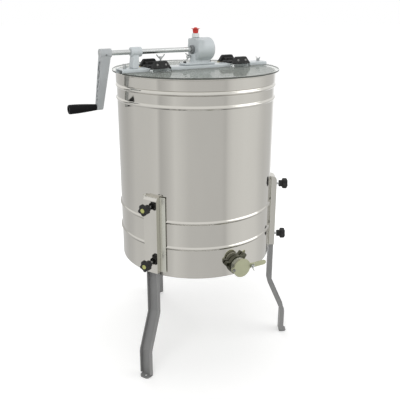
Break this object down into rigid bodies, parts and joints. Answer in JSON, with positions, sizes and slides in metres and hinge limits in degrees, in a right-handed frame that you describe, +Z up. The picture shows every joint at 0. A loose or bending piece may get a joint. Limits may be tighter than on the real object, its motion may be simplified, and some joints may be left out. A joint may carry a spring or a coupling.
{
  "type": "hand cranked honey extractor",
  "caption": "Hand cranked tangential honey extractor: polished steel drum on clamped legs, wire basket, bevel gearbox on a beam, clear hinged lids and a flap gate.",
  "frame": {"origin": "on the drum's axis at the flat underside of the floor bearing, level with the drum's lower edge", "axes": "+Z up along the drum's axis, the beam and crank shaft along X with the crank at -X, the honey gate towards -Y"},
  "size_m": [0.6921, 0.6349, 1.0751],
  "materials": {
    "mirror_steel": "mirror polished stainless steel",
    "satin_steel": "satin stainless steel",
    "zinc_steel": "zinc plated",
    "leg_grey": "satin grey paint",
    "pale_grey": "pale grey enamel",
    "dark_grey": "satin dark grey",
    "black_plastic": "moulded black plastic",
    "clear_acrylic": "clear acrylic sheet, greenish at the edges",
    "white_plastic": "translucent white plastic",
    "red_plastic": "red plastic"
  },
  "bodies": {
    "drum": {"drum_shell": "mirror_steel", "drum_floor": "satin_steel", "floor_bearing": "white_plastic", "beam": "pale_grey", "rim_bracket_left": "zinc_steel", "rim_bracket_right": "zinc_steel", "bearing_post": "pale_grey", "gearbox_housing": "pale_grey", "gearbox_bolt_1": "black_plastic", "gearbox_bolt_2": "black_plastic", "shaft_bush": "dark_grey", "oil_neck": "white_plastic", "leg_holder_left": "mirror_steel", "leg_holder_right": "mirror_steel", "leg_holder_rear": "mirror_steel", "gate_body": "satin_steel", "gate_nut": "black_plastic", "gate_pivot_screw": "zinc_steel", "gate_clamp_stud": "zinc_steel", "hinge_base_front_1": "black_plastic", "hinge_base_front_2": "black_plastic", "hinge_base_back_1": "black_plastic", "hinge_base_back_2": "black_plastic"},
    "basket": {"basket_spindle": "satin_steel", "spindle_pinion": "zinc_steel", "top_spider": "satin_steel", "bottom_spider": "satin_steel", "basket_screen_1": "satin_steel", "basket_screen_2": "satin_steel", "basket_screen_3": "satin_steel", "basket_screen_4": "satin_steel"},
    "crank": {"crank_shaft": "satin_steel", "crown_gear": "zinc_steel", "crank_arm": "pale_grey", "crank_set_screw": "zinc_steel", "grip_bolt": "zinc_steel"},
    "grip": {"grip": "black_plastic"},
    "lid_front": {"lid_front": "clear_acrylic", "hinge_leaf_front_1": "black_plastic", "hinge_leaf_front_2": "black_plastic"},
    "lid_back": {"lid_back": "clear_acrylic", "hinge_leaf_back_1": "black_plastic", "hinge_leaf_back_2": "black_plastic"},
    "oil_plug": {"oil_plug": "red_plastic"},
    "gearbox_wing_screw": {"gearbox_wing_screw": "zinc_steel"},
    "beam_wing_screw": {"beam_wing_screw": "zinc_steel"},
    "beam_wing_nut_left": {"beam_wing_nut_left": "zinc_steel"},
    "beam_wing_nut_right": {"beam_wing_nut_right": "zinc_steel"},
    "gate_flap": {"gate_flap": "satin_steel"},
    "gate_wing_nut": {"gate_wing_nut": "zinc_steel"},
    "leg_left": {"leg_left": "leg_grey"},
    "star_knob_left_low": {"star_knob_left_low": "black_plastic"},
    "star_knob_left_high": {"star_knob_left_high": "black_plastic"},
    "leg_right": {"leg_right": "leg_grey"},
    "star_knob_right_low": {"star_knob_right_low": "black_plastic"},
    "star_knob_right_high": {"star_knob_right_high": "black_plastic"},
    "leg_rear": {"leg_rear": "leg_grey"},
    "star_knob_rear_low": {"star_knob_rear_low": "black_plastic"},
    "star_knob_rear_high": {"star_knob_rear_high": "black_plastic"}
  },
  "joints": [
    {"name": "basket_spin", "type": "hinge", "parent": "drum", "child": "basket", "pos_m": [0, 0, 0.0456], "axis": [0, 0, 1], "continuous": true},
    {"name": "crank_spin", "type": "hinge", "parent": "drum", "child": "crank", "pos_m": [0, 0, 0.6726], "axis": [1, 0, 0], "continuous": true},
    {"name": "grip_spin", "type": "hinge", "parent": "crank", "child": "grip", "pos_m": [-0.3126, 0.0683, 0.50606], "axis": [1, 0, 0], "continuous": true},
    {"name": "lid_front_swing", "type": "hinge", "parent": "drum", "child": "lid_front", "pos_m": [0, -0.028, 0.633], "axis": [-1, 0, 0], "range_deg": [0, 95]},
    {"name": "lid_back_swing", "type": "hinge", "parent": "drum", "child": "lid_back", "pos_m": [0, 0.028, 0.633], "axis": [1, 0, 0], "range_deg": [0, 95]},
    {"name": "oil_plug_lift", "type": "slide", "parent": "drum", "child": "oil_plug", "axis": [0, 0, 1], "range_m": [0, 0.015]},
    {"name": "gearbox_wing_screw_turn", "type": "hinge", "parent": "drum", "child": "gearbox_wing_screw", "pos_m": [-0.024, 0, 0.6505], "axis": [-1, 0, 0], "range_deg": [0, 360]},
    {"name": "beam_wing_screw_turn", "type": "hinge", "parent": "drum", "child": "beam_wing_screw", "pos_m": [-0.123, 0, 0.6486], "axis": [0, 0, 1], "range_deg": [0, 360]},
    {"name": "beam_wing_nut_left_turn", "type": "hinge", "parent": "drum", "child": "beam_wing_nut_left", "pos_m": [-0.242, 0, 0.6253], "axis": [0, 0, 1], "range_deg": [0, 360]},
    {"name": "beam_wing_nut_right_turn", "type": "hinge", "parent": "drum", "child": "beam_wing_nut_right", "pos_m": [0.242, 0, 0.6253], "axis": [0, 0, 1], "range_deg": [0, 360]},
    {"name": "gate_flap_swing", "type": "hinge", "parent": "drum", "child": "gate_flap", "pos_m": [-0.03, -0.2853, 0.037], "axis": [0, -1, 0], "range_deg": [0, 90]},
    {"name": "gate_wing_nut_turn", "type": "hinge", "parent": "drum", "child": "gate_wing_nut", "pos_m": [0.036, -0.2896, 0.037], "axis": [0, -1, 0], "range_deg": [0, 360]},
    {"name": "leg_left_slide", "type": "slide", "parent": "drum", "child": "leg_left", "axis": [0, 0, -1], "range_m": [0, 0.18]},
    {"name": "star_knob_left_low_turn", "type": "hinge", "parent": "drum", "child": "star_knob_left_low", "pos_m": [-0.23539, -0.1359, 0.048], "axis": [-0.866, -0.5, 0], "range_deg": [0, 360]},
    {"name": "star_knob_left_high_turn", "type": "hinge", "parent": "drum", "child": "star_knob_left_high", "pos_m": [-0.23539, -0.1359, 0.23], "axis": [-0.866, -0.5, 0], "range_deg": [0, 360]},
    {"name": "leg_right_slide", "type": "slide", "parent": "drum", "child": "leg_right", "axis": [0, 0, -1], "range_m": [0, 0.18]},
    {"name": "star_knob_right_low_turn", "type": "hinge", "parent": "drum", "child": "star_knob_right_low", "pos_m": [0.23539, -0.1359, 0.048], "axis": [0.866, -0.5, 0], "range_deg": [0, 360]},
    {"name": "star_knob_right_high_turn", "type": "hinge", "parent": "drum", "child": "star_knob_right_high", "pos_m": [0.23539, -0.1359, 0.23], "axis": [0.866, -0.5, 0], "range_deg": [0, 360]},
    {"name": "leg_rear_slide", "type": "slide", "parent": "drum", "child": "leg_rear", "axis": [0, 0, -1], "range_m": [0, 0.18]},
    {"name": "star_knob_rear_low_turn", "type": "hinge", "parent": "drum", "child": "star_knob_rear_low", "pos_m": [0, 0.2718, 0.048], "axis": [0, 1, 0], "range_deg": [0, 360]},
    {"name": "star_knob_rear_high_turn", "type": "hinge", "parent": "drum", "child": "star_knob_rear_high", "pos_m": [0, 0.2718, 0.23], "axis": [0, 1, 0], "range_deg": [0, 360]}
  ],
  "couplings": [
    {"joint": "crank_spin", "follows": "basket_spin", "ratio": 0.33333}
  ]
}
